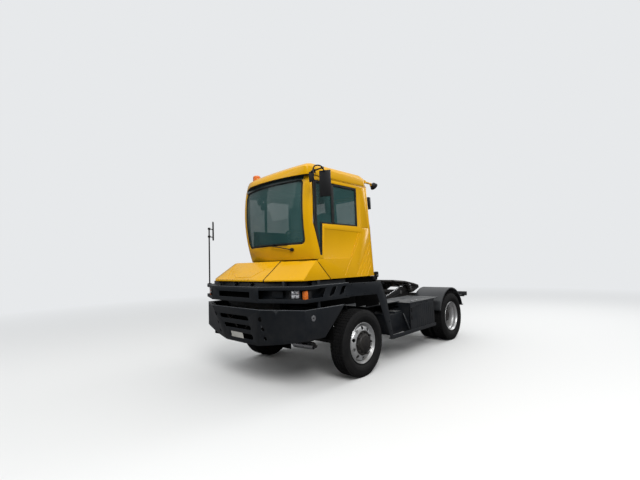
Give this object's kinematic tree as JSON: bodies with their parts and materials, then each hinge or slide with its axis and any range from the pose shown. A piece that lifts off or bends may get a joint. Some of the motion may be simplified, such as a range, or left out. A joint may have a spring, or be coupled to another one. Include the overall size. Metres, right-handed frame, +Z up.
{
  "type": "terminal tractor",
  "caption": "Yard tractor with a narrow offset cab, folded steel front, twin rear wheels and a hydraulic lift boom that carries a tilting coupling plate.",
  "frame": {"origin": "on the ground under the middle of the vehicle's box", "axes": "+X forward, +Y the vehicle's left, +Z up"},
  "size_m": [5.4, 2.8946, 3.125],
  "materials": {
    "yellow": "gloss",
    "anthracite": "satin",
    "chassis_black": "satin",
    "plate_pale": "matte",
    "lamp_glass": "gloss",
    "amber": "gloss",
    "engine_metal": "matte",
    "deck_steel": "matte",
    "black_plastic": "matte",
    "glass": "gloss",
    "seat_fabric": "matte",
    "tyre": "matte",
    "rim_silver": "satin",
    "greased_black": "satin",
    "chrome": "polished"
  },
  "bodies": {
    "chassis": {"frame_rails": "chassis_black", "front_bumper": "anthracite", "lamp_band": "anthracite", "number_plate": "plate_pale", "head_lamps": "lamp_glass", "amber_lamps": "amber", "front_axle": "chassis_black", "rear_axle": "chassis_black", "engine_block": "engine_metal", "step_box": "anthracite", "fuel_tank": "anthracite", "deck_plate": "deck_steel", "mudguards": "anthracite", "rear_lamps": "black_plastic", "air_stack": "black_plastic", "cab_floor": "yellow", "cab_front": "yellow", "cab_left": "yellow", "cab_right": "yellow", "cab_rear": "yellow", "cab_roof": "yellow", "windscreen": "glass", "cab_glass": "glass", "seat": "seat_fabric", "dashboard": "black_plastic", "mirrors": "black_plastic", "work_lamps": "black_plastic", "hood_skirt": "yellow"},
    "hood": {"hood_lid": "yellow"},
    "door": {"rear_door": "yellow", "door_glass": "glass"},
    "steer_l": {"knuckle_left": "chassis_black"},
    "steer_r": {"knuckle_right": "chassis_black"},
    "wheel_fl": {"front_tyre_left": "tyre", "front_rim_left": "rim_silver"},
    "wheel_fr": {"front_tyre_right": "tyre", "front_rim_right": "rim_silver"},
    "wheel_rl": {"rear_tyres_left": "tyre", "rear_rims_left": "rim_silver"},
    "wheel_rr": {"rear_tyres_right": "tyre", "rear_rims_right": "rim_silver"},
    "boom": {"lift_boom": "chassis_black"},
    "coupling": {"coupling_plate": "greased_black"},
    "barrels": {"lift_barrels": "chassis_black"},
    "rods": {"lift_rods": "chrome"}
  },
  "joints": [
    {"name": "steer_left", "type": "hinge", "parent": "chassis", "child": "steer_l", "pos_m": [1.25, 0.925, 0.49], "axis": [0, 0, 1], "range_deg": [-38, 38]},
    {"name": "steer_right", "type": "hinge", "parent": "chassis", "child": "steer_r", "pos_m": [1.25, -0.925, 0.49], "axis": [0, 0, 1], "range_deg": [-38, 38]},
    {"name": "spin_front_left", "type": "hinge", "parent": "steer_l", "child": "wheel_fl", "pos_m": [1.25, 1.0825, 0.49], "axis": [0, 1, 0], "continuous": true},
    {"name": "spin_front_right", "type": "hinge", "parent": "steer_r", "child": "wheel_fr", "pos_m": [1.25, -1.0825, 0.49], "axis": [0, 1, 0], "continuous": true},
    {"name": "spin_rear_left", "type": "hinge", "parent": "chassis", "child": "wheel_rl", "pos_m": [-1.85, 1.0825, 0.49], "axis": [0, 1, 0], "continuous": true},
    {"name": "spin_rear_right", "type": "hinge", "parent": "chassis", "child": "wheel_rr", "pos_m": [-1.85, -1.0825, 0.49], "axis": [0, 1, 0], "continuous": true},
    {"name": "hood_hinge", "type": "hinge", "parent": "chassis", "child": "hood", "pos_m": [2.615, 0, 1.438], "axis": [0, 1, 0], "range_deg": [0, 50]},
    {"name": "door_slide", "type": "slide", "parent": "chassis", "child": "door", "axis": [0, -1, 0], "range_m": [0, 0.62]},
    {"name": "boom_lift", "type": "hinge", "parent": "chassis", "child": "boom", "pos_m": [-0.25, 0, 0.8], "axis": [0, 1, 0], "range_deg": [0, 24]},
    {"name": "plate_pitch", "type": "hinge", "parent": "boom", "child": "coupling", "pos_m": [-1.6, 0, 1.08], "axis": [0, 1, 0], "range_deg": [-14, 14]},
    {"name": "barrel_swing", "type": "hinge", "parent": "chassis", "child": "barrels", "pos_m": [-0.55, 0, 0.52], "axis": [0, 1, 0], "range_deg": [0, 12]},
    {"name": "rod_slide", "type": "slide", "parent": "barrels", "child": "rods", "axis": [-0.2609, 0, 0.9654], "range_m": [0, 0.145]}
  ],
  "couplings": [
    {"joint": "steer_right", "follows": "steer_left", "ratio": 1},
    {"joint": "barrel_swing", "follows": "boom_lift", "ratio": 0.4992},
    {"joint": "rod_slide", "follows": "boom_lift", "m_per_rad": 0.3442}
  ]
}
